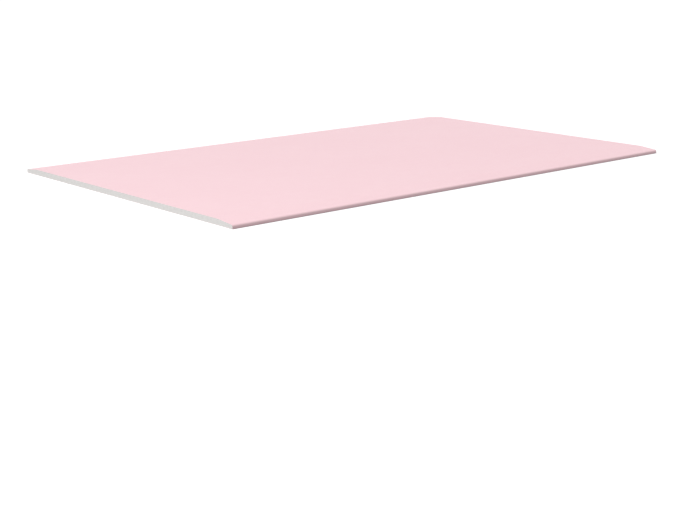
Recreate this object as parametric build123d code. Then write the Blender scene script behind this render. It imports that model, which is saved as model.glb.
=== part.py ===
"""A sheet of drywall, lying with its tapered face up: a gypsum core between two paper liners.

Millimetres. +X runs along the sheet, +Y across it and +Z up. The origin is the middle of the
rectangle that the sheet covers, at the level of its back, so the back liner lies on z = 0.
"""
import os

from build123d import *

# The sheet
sheet_length = 2000.0
sheet_width = 1250.0
sheet_thickness = 20.0

# The two long edges: a taper down from the face, a round nose and a nearly square back corner
taper_width = 75.0
taper_depth = 7.0
nose_radius = 6.0
back_corner_radius = 1.5

# The liners: the face liner is folded round both long edges and its laps are glued on the back,
# where the back liner covers all but a bare strip of each lap
liner_thickness = 0.4
lap_width = 35.0
bare_lap_width = 20.0


def folded_outline():
    """The section that the face liner is folded round, with its laps underneath."""
    edge = sheet_width / 2
    taper_start = edge - taper_width
    lap_bottom = liner_thickness
    outline = FilletPolyline(
        (-edge, lap_bottom),
        (-edge, sheet_thickness - taper_depth),
        (-taper_start, sheet_thickness),
        (taper_start, sheet_thickness),
        (edge, sheet_thickness - taper_depth),
        (edge, lap_bottom),
        radius=[back_corner_radius, nose_radius, 0, 0, nose_radius, back_corner_radius],
        close=True,
    )
    return make_face(outline)


def face_liner_section():
    """One thickness of paper round the outline, open on the back between the two laps."""
    outline = folded_outline()
    paper = outline - offset(outline, -liner_thickness, kind=Kind.INTERSECTION)
    between_laps = Rectangle(sheet_width - 2 * lap_width, sheet_thickness)
    return paper - between_laps


def core_section():
    """All that the face liner encloses, down to the back liner between the two laps."""
    return folded_outline() - face_liner_section()


def back_liner_section():
    """A flat strip of paper under the core and under the inner part of each lap."""
    covered_width = sheet_width - 2 * bare_lap_width
    return Rectangle(covered_width, liner_thickness, align=(Align.CENTER, Align.MIN))


def run_of(section):
    """The section, drawn across the sheet, carried along it from one cut end to the other."""
    return extrude(Plane.YZ * section, sheet_length / 2, both=True)


sheet = {
    "gypsum_core": core_section(),
    "face_paper": face_liner_section(),
    "back_paper": back_liner_section(),
}

os.makedirs("parts", exist_ok=True)
for node, section in sheet.items():
    export_step(run_of(section), f"parts/{node}.step")
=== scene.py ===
"""The looks of a pink drywall sheet, lying with its tapered face up on a pale floor.

Metres, in the frame of the solids: +X along the sheet, +Y across it and +Z up, out of its face.
"""
import math

import bmesh
import bpy
from mathutils import Matrix, Vector, noise


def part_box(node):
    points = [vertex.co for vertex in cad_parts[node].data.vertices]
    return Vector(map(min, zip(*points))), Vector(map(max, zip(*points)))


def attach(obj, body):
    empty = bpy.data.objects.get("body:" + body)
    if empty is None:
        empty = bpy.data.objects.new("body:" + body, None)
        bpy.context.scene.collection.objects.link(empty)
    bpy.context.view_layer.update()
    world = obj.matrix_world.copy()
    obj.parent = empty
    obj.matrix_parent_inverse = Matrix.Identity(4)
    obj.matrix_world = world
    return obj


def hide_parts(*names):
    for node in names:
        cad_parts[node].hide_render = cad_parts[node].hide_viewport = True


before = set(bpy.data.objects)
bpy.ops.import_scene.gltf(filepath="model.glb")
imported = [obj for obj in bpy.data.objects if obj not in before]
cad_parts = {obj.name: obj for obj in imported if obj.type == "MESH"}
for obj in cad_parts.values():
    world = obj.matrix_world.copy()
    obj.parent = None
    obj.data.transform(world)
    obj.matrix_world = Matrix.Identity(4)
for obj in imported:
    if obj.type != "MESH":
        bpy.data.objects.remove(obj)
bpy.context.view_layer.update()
scene = bpy.context.scene

# The core is gypsum plaster, foamed a little and stiffened with glass fibre, cast between the two
# papers. It is sawn square to length once it has set, so bare gypsum shows at the two ends, where
# the saw leaves faint upright lines and opens the air pores.
half_length, half_width, face_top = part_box("face_paper")[1]
lap_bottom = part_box("face_paper")[0].z
core_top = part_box("gypsum_core")[1].z
core_height = core_top - lap_bottom
liner_thickness = face_top - core_top
lap_width = 0.035
lap_start = half_width - lap_width
lap_top = lap_bottom + liner_thickness
taper_width = 0.075
taper_depth = 0.007
nose_radius = 0.006
back_corner_radius = 0.0015

# One long edge in section: the slope of its taper, the turn of its nose and the centres of its arcs.
upwards = Vector((0, 0, 1))
sideways = Vector((0, 1, 0))
quarter_turn = math.pi / 2
taper_slope = math.atan2(taper_depth, taper_width)
taper_normal = Vector((0, math.sin(taper_slope), math.cos(taper_slope)))
taper_start = Vector((0, half_width - taper_width, face_top))
nose_turn = taper_slope - quarter_turn
nose_drop = (taper_width - nose_radius) * math.sin(taper_slope) + nose_radius
nose_centre = Vector((0, half_width - nose_radius, face_top - nose_drop / math.cos(taper_slope)))
back_corner_centre = Vector((0, half_width - back_corner_radius, lap_bottom + back_corner_radius))

# How finely the core is meshed.
nose_steps = 14
back_corner_steps = 6
end_cell = 0.00085
cut_tolerance = 1e-7

# How deep the denser gypsum under the papers goes, and the relief of the sawn ends.
dense_skin = 0.0016
densest_skin = 0.0002
pore_free_skin = 0.0004
saw_line_pitch = 0.0022
saw_line_length = 0.045
saw_line_depth = 0.00008
hollow_spacing = 0.0030
hollow_narrowness = 2.4
hollow_depth = 0.00022

gypsum_colour = (0.825, 0.805, 0.790, 1)
gypsum_shaded = (0.750, 0.732, 0.716, 1)
gypsum_dense = (0.855, 0.838, 0.824, 1)
# Painted shade in the open pores: a darker grey that stands in for the shade inside each hole.
painted_pore_shade = (0.52, 0.51, 0.49, 1)
glass_fibre_colour = (0.88, 0.88, 0.86, 1)

# How many of each there are to the metre, along x, y and z or every way alike.
gypsum_clouds = (90, 90, 90)
sand_grains = (1900, 1900, 1900)
saw_scratches = (400, 750, 24)
upright_fibres = (900, 1500, 90)
lying_fibres = (900, 110, 1600)
fine_pores = 1500
wide_pores = 620

# How far the glass fibres lean about x, in radians, and where one begins to fade and where it ends,
# as shares of the space between them.
upright_fibre_lean = 0.5
lying_fibre_lean = -0.3
glass_fibre_middle = 0.07
glass_fibre_rim = 0.12

# Each cell of a pore pattern has a random level, which gives it no pore below the first of these
# and the largest above the second. A pore's radius and its soft rim are shares of the cell.
poreless_level = 0.35
largest_pore_level = 0.90
largest_fine_pore = 0.36
largest_wide_pore = 0.30
pore_rim = 0.07


def everything(mesh):
    """All the vertices, edges and faces of a bmesh."""
    return mesh.verts[:] + mesh.edges[:] + mesh.faces[:]


def cut_along(mesh, point, normal, clear_beyond):
    """Cuts a mesh along a plane, and clears what lies beyond it where that is asked."""
    bmesh.ops.bisect_plane(
        mesh,
        geom=everything(mesh),
        dist=cut_tolerance,
        plane_co=point,
        plane_no=normal,
        clear_outer=clear_beyond,
    )


def cut_both_edges(mesh, point, normal, clear_beyond):
    """Cuts along a plane at one long edge, and along its mirror image at the other."""
    for side in (1, -1):
        cut_along(mesh, (0, side * point.y, point.z), (0, side * normal.y, normal.z), clear_beyond)


def trim_round(mesh, centre, radius, first_normal, turn, steps):
    """Rounds both long edges with a row of planes that touch an arc."""
    for step in range(steps):
        normal = Matrix.Rotation(turn * step / steps, 3, "X") @ first_normal
        cut_both_edges(mesh, centre + radius * normal, normal, clear_beyond=True)


def depth_inside(place):
    """How deep a point of the cut end lies inside the papers."""
    across = abs(place.y)
    below_taper = (taper_start - Vector((0, across, place.z))).dot(taper_normal)
    core_bottom = lap_top if across > lap_start else lap_bottom
    from_above = min(face_top - place.z, below_taper, half_width - across) - liner_thickness
    return max(0.0, min(from_above, place.z - core_bottom))


def cut_depth(place, inside):
    """How far the saw's lines and hollows leave the gypsum behind the ends of the papers."""
    saw_place = Vector((place.x, place.y / saw_line_pitch, place.z / saw_line_length))
    saw_line = 0.5 + 0.5 * noise.noise(saw_place)
    nearest_hollow = noise.voronoi(place / hollow_spacing)[0][0]
    hollow = max(0.0, 1 - hollow_narrowness * nearest_hollow) * min(1.0, inside / dense_skin)
    return saw_line_depth * saw_line + hollow_depth * hollow


def sharpen_borders(mesh):
    """Keeps an edge sharp unless the faces on both sides of it are shaded smooth."""
    for edge in mesh.edges:
        edge.smooth = all(face.smooth for face in edge.link_faces)


def new_material(name):
    """A material that still has its plain shader, and the tree of its nodes."""
    material = bpy.data.materials.new(name)
    material.use_nodes = True
    return material, material.node_tree


def set_sockets(tree, node, inputs):
    """Sets a node's sockets to plain values, or joins them to other nodes."""
    for socket, value in inputs.items():
        if isinstance(value, bpy.types.NodeSocket):
            tree.links.new(value, node.inputs[socket])
        else:
            node.inputs[socket].default_value = value


def joined(tree, kind, inputs, **options):
    """A new node with its options and its sockets set."""
    node = tree.nodes.new(kind)
    for name, value in options.items():
        setattr(node, name, value)
    set_sockets(tree, node, inputs)
    return node


def pattern_place(tree, per_metre, turn):
    """The place in a pattern with so many grains to the metre, turned about the x axis."""
    place = joined(tree, "ShaderNodeTexCoord", {}).outputs["Object"]
    place = joined(tree, "ShaderNodeMapping", {"Vector": place, "Rotation": (turn, 0, 0)}).outputs[0]
    return joined(tree, "ShaderNodeMapping", {"Vector": place, "Scale": per_metre}).outputs[0]


def grains(tree, per_metre, detail):
    """Soft noise with so many grains to the metre along x, y and z."""
    place = pattern_place(tree, per_metre, turn=0.0)
    noise_inputs = {"Vector": place, "Scale": 1.0, "Detail": detail, "Roughness": 0.6}
    return joined(tree, "ShaderNodeTexNoise", noise_inputs).outputs["Fac"]


def spread(tree, value, low, high, to_low=0.0, to_high=1.0):
    """Stretches the part of a pattern between two levels over a new range, and clamps the rest."""
    ends = {"Value": value, "From Min": low, "From Max": high, "To Min": to_low, "To Max": to_high}
    return joined(tree, "ShaderNodeMapRange", ends).outputs[0]


def strands(tree, per_metre, middle, rim, turn=0.0):
    """Scattered fibres, long where there are few to the metre: 1 in their middle and 0 at their rim."""
    place = pattern_place(tree, per_metre, turn)
    cell = joined(tree, "ShaderNodeTexVoronoi", {"Vector": place, "Scale": 1.0})
    return spread(tree, cell.outputs["Distance"], middle, rim, to_low=1.0, to_high=0.0)


def combined(tree, operation, first, second):
    """Two patterns put together by one operation, such as the larger of the two."""
    return joined(tree, "ShaderNodeMath", {0: first, 1: second}, operation=operation).outputs[0]


def bubbles(tree, per_metre, largest):
    """Round pores of many sizes, scattered in cells with so many to the metre."""
    place = joined(tree, "ShaderNodeTexCoord", {}).outputs["Object"]
    cell = joined(tree, "ShaderNodeTexVoronoi", {"Vector": place, "Scale": per_metre})
    radius = spread(tree, cell.outputs["Color"], poreless_level, largest_pore_level, to_high=largest)
    within = combined(tree, "SUBTRACT", radius, cell.outputs["Distance"])
    return spread(tree, within, 0.0, pore_rim)


def tinted(tree, share, under, over):
    """One colour laid over another by a share from 0 to 1."""
    layers = {"Factor": share, "A": under, "B": over}
    return joined(tree, "ShaderNodeMix", layers, data_type="RGBA").outputs["Result"]


def added(tree, first, second, weight):
    """The first height plus a share of the second."""
    terms = {0: second, 1: weight, 2: first}
    return joined(tree, "ShaderNodeMath", terms, operation="MULTIPLY_ADD").outputs[0]


def sawn_gypsum():
    """Sawn plaster: clouds, saw lines, open pores darkened with painted shade, glass fibres and a dense
    skin beside the papers.
    """
    material, tree = new_material("sawn_gypsum")
    inside = joined(tree, "ShaderNodeAttribute", {}, attribute_name="depth_inside").outputs["Fac"]
    clouds = grains(tree, gypsum_clouds, detail=4)
    sand = grains(tree, sand_grains, detail=2)
    saw_lines = grains(tree, saw_scratches, detail=2)
    fine = bubbles(tree, fine_pores, largest_fine_pore)
    wide = bubbles(tree, wide_pores, largest_wide_pore)
    foamed = spread(tree, inside, pore_free_skin, dense_skin)
    pores = combined(tree, "MULTIPLY", combined(tree, "MAXIMUM", fine, wide), foamed)
    upright = strands(tree, upright_fibres, glass_fibre_middle, glass_fibre_rim, upright_fibre_lean)
    lying = strands(tree, lying_fibres, glass_fibre_middle, glass_fibre_rim, lying_fibre_lean)
    fibres = combined(tree, "MAXIMUM", upright, lying)

    colour = tinted(tree, spread(tree, clouds, 0.30, 0.75), gypsum_shaded, gypsum_colour)
    colour = tinted(tree, spread(tree, saw_lines, 0.45, 0.80, to_high=0.30), colour, gypsum_dense)
    skin = spread(tree, inside, densest_skin, dense_skin, to_low=0.75, to_high=0.0)
    colour = tinted(tree, skin, colour, gypsum_dense)
    # Painted shade: the open pores are darkened by up to 0.40 towards the grey that stands in for the
    # shade inside them.
    colour = tinted(tree, spread(tree, pores, 0.0, 1.0, to_high=0.40), colour, painted_pore_shade)
    colour = tinted(tree, spread(tree, fibres, 0.0, 1.0, to_high=0.60), colour, glass_fibre_colour)

    height = spread(tree, pores, 0.0, 1.0, to_low=1.0, to_high=0.0)
    height = added(tree, height, sand, weight=0.55)
    height = added(tree, height, saw_lines, weight=0.50)
    height = added(tree, height, fibres, weight=0.35)
    bump = joined(tree, "ShaderNodeBump", {"Height": height, "Strength": 0.75, "Distance": 0.00012})
    finish = {
        "Base Color": colour,
        "Roughness": spread(tree, sand, 0.3, 0.7, to_low=0.86, to_high=0.97),
        "Specular IOR Level": 0.25,
        "Normal": bump.outputs[0],
    }
    set_sockets(tree, tree.nodes["Principled BSDF"], finish)
    return material


def new_piece(name, mesh, replaced, materials):
    """Makes a mesh a piece of the sheet, in place of the solid that it stands for."""
    data = bpy.data.meshes.new(name)
    mesh.to_mesh(data)
    mesh.free()
    for material in materials:
        data.materials.append(material)
    piece = bpy.data.objects.new(name, data)
    scene.collection.objects.link(piece)
    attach(piece, "root")
    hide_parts(replaced)


# A grid one unit wide is stood up and stretched over the front end, trimmed to the section of the
# core and drawn out to the rear end.
core_mesh = bmesh.new()
bmesh.ops.create_grid(
    core_mesh,
    x_segments=round(core_height / end_cell),
    y_segments=round(2 * half_width / end_cell),
    size=0.5,
)
front_end = Matrix.LocRotScale(
    Vector((-half_length, 0, (core_top + lap_bottom) / 2)),
    Matrix.Rotation(-quarter_turn, 3, "Y").to_quaternion(),
    Vector((core_height, 2 * half_width, 1)),
)
bmesh.ops.transform(core_mesh, matrix=front_end, verts=core_mesh.verts)
core_nose_radius = nose_radius - liner_thickness
core_corner_radius = back_corner_radius - liner_thickness
trim_round(core_mesh, nose_centre, core_nose_radius, taper_normal, nose_turn, nose_steps)
trim_round(core_mesh, back_corner_centre, core_corner_radius, sideways, -quarter_turn, back_corner_steps)
cut_both_edges(core_mesh, lap_start * sideways, sideways, clear_beyond=False)
cut_along(core_mesh, lap_top * upwards, upwards, clear_beyond=False)
taken_by_laps = []
for face in core_mesh.faces:
    middle = face.calc_center_median()
    if abs(middle.y) > lap_start and middle.z < lap_top:
        taken_by_laps.append(face)
bmesh.ops.delete(core_mesh, geom=taken_by_laps, context="FACES")
rear_end = bmesh.ops.extrude_face_region(core_mesh, geom=core_mesh.faces[:])["geom"]
rear_corners = [part for part in rear_end if isinstance(part, bmesh.types.BMVert)]
bmesh.ops.translate(core_mesh, verts=rear_corners, vec=(2 * half_length, 0, 0))
bmesh.ops.recalc_face_normals(core_mesh, faces=core_mesh.faces)
for face in core_mesh.faces:
    faces_endways = abs(face.normal.x) > 0.5
    face.smooth = faces_endways
sharpen_borders(core_mesh)
depth_layer = core_mesh.verts.layers.float.new("depth_inside")
for vertex in core_mesh.verts:
    vertex[depth_layer] = depth_inside(vertex.co)
    vertex.co.x -= math.copysign(cut_depth(vertex.co, vertex[depth_layer]), vertex.co.x)
new_piece("core_with_sawn_ends", core_mesh, "gypsum_core", [sawn_gypsum()])

# The face liner is one sheet of pink paper, scored in four lines and folded round both long edges
# of the wet core, with its laps turned flat onto the back. The rollers press it to a smooth face
# and a taper along each edge, and the saw that cuts the sheet leaves its ends a little ragged.
strip_width = 0.0025
crease_width = 0.0005
crease_depth = 0.00010
fray_depth = 0.00030
fray_length = 0.0016
same_place = 1e-6

pink_colour = (0.950, 0.680, 0.722, 1)
pink_pale = (0.970, 0.725, 0.762, 1)
pink_deep = (0.900, 0.605, 0.652, 1)
cut_paper_colour = (0.80, 0.66, 0.655, 1)

# How many of each there are to the metre, along x, y and z.
paper_clouds = (22, 34, 34)
wide_paper_clouds = (2.6, 3.4, 3.4)
fine_fibres = (110, 1300, 1300)
felt_grains = (1500, 2600, 2600)
stray_fibres = (70, 420, 420)
paper_plies = (3000, 3000, 9000)

# Where a stray fibre begins to fade and where it ends, as shares of the space between them.
stray_fibre_middle = 0.035
stray_fibre_rim = 0.075
roughness_play = 0.06


def carried_on(mesh, line, target):
    """Carries a line of the paper straight on to a target point, in even strips."""
    corner = next(part for part in line if isinstance(part, bmesh.types.BMVert))
    start = Vector((0, corner.co.y, corner.co.z))
    steps = max(1, round((target - start).length / strip_width))
    step = (target - start) / steps
    swept = bmesh.ops.spin(
        mesh, geom=line, cent=(0, 0, 0), axis=(1, 0, 0), angle=0.0, dvec=step, steps=steps,
    )
    return swept["geom_last"]


def folded_round(mesh, line, centre, angle, steps):
    """Folds the paper on round an arc along the sheet."""
    swept = bmesh.ops.spin(
        mesh, geom=line, cent=centre, axis=(1, 0, 0), angle=angle, dvec=(0, 0, 0), steps=steps,
    )
    return swept["geom_last"]


def creased(mesh, line, place, along, outward):
    """Leaves a scored line in the paper, a shallow groove with its deepest line at a place."""
    line = carried_on(mesh, line, place - along * crease_width / 2)
    line = carried_on(mesh, line, place - outward * crease_depth)
    return carried_on(mesh, line, place + along * crease_width / 2)


def paper_line(height):
    """A new paper, so far only one line along the middle of the sheet at this height, and the line."""
    mesh = bmesh.new()
    ends = []
    for end in (-half_length, half_length):
        ends += bmesh.ops.create_vert(mesh, co=(end, 0, height))["vert"]
    edge = mesh.edges.new(ends)
    return mesh, [*ends, edge]


def thickened(mesh, outward):
    """Mirrors the half paper, thickens it away from its outward side and frays its two sawn ends."""
    bmesh.ops.mirror(mesh, geom=everything(mesh), axis="Y", merge_dist=same_place)
    bmesh.ops.recalc_face_normals(mesh, faces=mesh.faces)
    mesh.faces.ensure_lookup_table()
    if mesh.faces[0].normal.dot(outward) < 0:
        bmesh.ops.reverse_faces(mesh, faces=mesh.faces)
    outer = set(mesh.verts)
    bmesh.ops.solidify(mesh, geom=mesh.faces[:], thickness=liner_thickness)
    for face in mesh.faces:
        outer_corners = sum(vertex in outer for vertex in face.verts)
        is_cut_edge = 0 < outer_corners < len(face.verts)
        face.smooth = not is_cut_edge
        face.material_index = int(is_cut_edge)
    sharpen_borders(mesh)
    for vertex in mesh.verts:
        fray = noise.noise(Vector((vertex.co.x, vertex.co.y / fray_length, vertex.co.z / fray_length)))
        vertex.co.x -= math.copysign(fray_depth * max(0.0, fray), vertex.co.x)


def liner_paper(name, grain_share, grain_height, roughness):
    """Pink board liner: fine fibres along the sheet, faint clouds, and here and there a stray fibre."""
    material, tree = new_material(name)
    clouds = grains(tree, paper_clouds, detail=4)
    wide_clouds = grains(tree, wide_paper_clouds, detail=2)
    fibres = grains(tree, fine_fibres, detail=3)
    felt = grains(tree, felt_grains, detail=3)
    strays = strands(tree, stray_fibres, stray_fibre_middle, stray_fibre_rim)

    colour = tinted(tree, spread(tree, clouds, 0.30, 0.72, to_high=0.34), pink_colour, pink_pale)
    colour = tinted(tree, spread(tree, wide_clouds, 0.30, 0.70, to_high=0.16), colour, pink_deep)
    colour = tinted(tree, spread(tree, fibres, 0.50, 0.78, to_high=grain_share), colour, pink_deep)
    colour = tinted(tree, spread(tree, felt, 0.50, 0.80, to_high=grain_share), colour, pink_pale)
    colour = tinted(tree, spread(tree, strays, 0.0, 1.0, to_high=0.70), colour, pink_deep)

    height = added(tree, felt, fibres, weight=0.8)
    height = added(tree, height, strays, weight=0.25)
    height = added(tree, height, clouds, weight=1.6)
    bump = joined(tree, "ShaderNodeBump", {"Height": height, "Strength": 0.6, "Distance": grain_height})
    smoothest = roughness - roughness_play
    roughest = roughness + roughness_play
    finish = {
        "Base Color": colour,
        "Roughness": spread(tree, fibres, 0.3, 0.7, to_low=smoothest, to_high=roughest),
        "Specular IOR Level": 0.15,
        "Normal": bump.outputs[0],
    }
    set_sockets(tree, tree.nodes["Principled BSDF"], finish)
    return material


def cut_paper_edge():
    """The cut edge of the liner, where the plies of the paper show."""
    material, tree = new_material("cut_paper")
    plies = grains(tree, paper_plies, detail=2)
    colour = tinted(tree, spread(tree, plies, 0.35, 0.70), cut_paper_colour, pink_colour)
    finish = {"Base Color": colour, "Roughness": 0.9, "Specular IOR Level": 0.2}
    set_sockets(tree, tree.nodes["Principled BSDF"], finish)
    return material


along_taper = Vector((0, math.cos(taper_slope), -math.sin(taper_slope)))
nose_start = nose_centre + nose_radius * taper_normal
corner_start = back_corner_centre + back_corner_radius * sideways
face_mesh, line = paper_line(face_top)
line = carried_on(face_mesh, line, taper_start)
line = creased(face_mesh, line, nose_start - along_taper * crease_width, along_taper, taper_normal)
line = carried_on(face_mesh, line, nose_start)
line = folded_round(face_mesh, line, nose_centre, nose_turn, nose_steps)
line = creased(face_mesh, line, corner_start + upwards * crease_width, -upwards, sideways)
line = carried_on(face_mesh, line, corner_start)
line = folded_round(face_mesh, line, back_corner_centre, -quarter_turn, back_corner_steps)
carried_on(face_mesh, line, Vector((0, lap_start, lap_bottom)))
thickened(face_mesh, outward=upwards)
cut_paper = cut_paper_edge()
smooth_paper = liner_paper("smooth_face_paper", grain_share=0.40, grain_height=0.00010, roughness=0.62)
new_piece("folded_face_liner", face_mesh, "face_paper", [smooth_paper, cut_paper])

# The back liner is a second, plainer strip of the same pink paper, rolled onto the wet core last.
# It is glued over the inner part of the two laps and leaves a bare strip of each lap beside it,
# so that its cut edge shows as a fine straight step near each long edge.
back_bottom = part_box("back_paper")[0].z
covered_half_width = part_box("back_paper")[1].y
edge_softness = 0.00010

back_mesh, line = paper_line(back_bottom)
carried_on(back_mesh, line, Vector((0, covered_half_width, back_bottom)))
thickened(back_mesh, outward=-upwards)
long_edges = []
for edge in back_mesh.edges:
    is_outermost = all(abs(vertex.co.y) > covered_half_width - same_place for vertex in edge.verts)
    is_undermost = all(vertex.co.z < back_bottom + same_place for vertex in edge.verts)
    if is_outermost and is_undermost:
        long_edges.append(edge)
bmesh.ops.bevel(
    back_mesh,
    geom=long_edges,
    offset=edge_softness,
    affect="EDGES",
    segments=2,
    profile=0.5,
    material=-1,
)
rough_paper = liner_paper("rough_back_paper", grain_share=0.50, grain_height=0.00014, roughness=0.70)
new_piece("flat_back_liner", back_mesh, "back_paper", [rough_paper, cut_paper])

# The studio is a pale floor without a visible end, under an even dome of light. One large soft lamp
# shines down from beyond the end at -X, and a weak one close by lightens the corner at -X and -Y.
# The floor looks white in the light and in mirrors, and throws only a little light on the sheet.
floor_half_size = 60.0
floor_drop = 0.0002
floor_seen = (1.16, 1.16, 1.16, 1)
floor_reflected = (0.40, 0.40, 0.40, 1)
white_light = (1, 1, 1, 1)
dome_strength = 0.40
lamp_direction = Vector((-0.61, -0.09, 0.78))
lamp_strength = 2.15
lamp_angle = math.radians(25)
fill_place = Vector((-2.6, -0.6, 1.8))
fill_aim = Vector((-half_length, -half_width, 0))
fill_power = 7.0
fill_size = 1.2


def seen_directly(tree):
    """1 for what the camera sees straight, mirrored or through glass, and 0 for light that bounces."""
    path = joined(tree, "ShaderNodeLightPath", {}).outputs
    straight_or_mirrored = combined(tree, "MAXIMUM", path["Is Camera Ray"], path["Is Glossy Ray"])
    return combined(tree, "MAXIMUM", straight_or_mirrored, path["Is Transmission Ray"])


def add_lamp(name, kind, strength, shines_from):
    """A lamp of one kind, turned to shine from a direction."""
    data = bpy.data.lights.new(name, kind)
    data.energy = strength
    lamp = bpy.data.objects.new(name, data)
    lamp.rotation_euler = shines_from.to_track_quat("Z", "Y").to_euler()
    scene.collection.objects.link(lamp)
    return lamp


floor_mesh = bmesh.new()
bmesh.ops.create_grid(floor_mesh, x_segments=1, y_segments=1, size=floor_half_size)
bmesh.ops.translate(floor_mesh, verts=floor_mesh.verts, vec=(0, 0, -floor_drop))
floor_data = bpy.data.meshes.new("floor")
floor_mesh.to_mesh(floor_data)
floor_mesh.free()
floor = bpy.data.objects.new("floor", floor_data)
scene.collection.objects.link(floor)
floor_paint, tree = new_material("floor_paint")
tree.nodes.clear()
tone = tinted(tree, seen_directly(tree), floor_reflected, floor_seen)
paint = joined(tree, "ShaderNodeBsdfDiffuse", {"Color": tone})
joined(tree, "ShaderNodeOutputMaterial", {"Surface": paint.outputs[0]})
floor_data.materials.append(floor_paint)

lamp = add_lamp("lamp", "SUN", lamp_strength, lamp_direction)
lamp.data.angle = lamp_angle
fill = add_lamp("fill", "AREA", fill_power, fill_place - fill_aim)
fill.data.size = fill_size
fill.location = fill_place

world = bpy.data.worlds.new("dome")
world.use_nodes = True
tree = world.node_tree
tree.nodes.clear()
backdrop = joined(tree, "ShaderNodeBackground", {"Color": white_light, "Strength": 1.0}).outputs[0]
dome = joined(tree, "ShaderNodeBackground", {"Color": white_light, "Strength": dome_strength}).outputs[0]
mixed = joined(tree, "ShaderNodeMixShader", {0: seen_directly(tree), 1: dome, 2: backdrop})
joined(tree, "ShaderNodeOutputWorld", {"Surface": mixed.outputs[0]})
scene.world = world
scene.view_settings.view_transform = "Standard"

# The camera stands where the photograph was taken from, out beyond the corner at -X and -Y, and
# looks gently down across the sheet. Its place is in metres from the middle of the sheet.
camera_place = (-3.2279, -3.7355, 0.8534)
camera_down = math.radians(13.773)
camera_turn = math.radians(40.345)
camera_roll = math.radians(-0.324)
sensor_width_mm = 36.0
photo_width_px = 683
focal_length_px = 1346.9

camera_data = bpy.data.cameras.new("camera")
camera_data.sensor_width = sensor_width_mm
camera_data.lens = sensor_width_mm * focal_length_px / photo_width_px
camera = bpy.data.objects.new("camera", camera_data)
camera.location = camera_place
turned = Matrix.Rotation(-camera_turn, 3, "Z")
tilted = Matrix.Rotation(quarter_turn - camera_down, 3, "X")
rolled = Matrix.Rotation(camera_roll, 3, "Z")
camera.rotation_euler = (turned @ tilted @ rolled).to_euler()
scene.collection.objects.link(camera)
scene.camera = camera
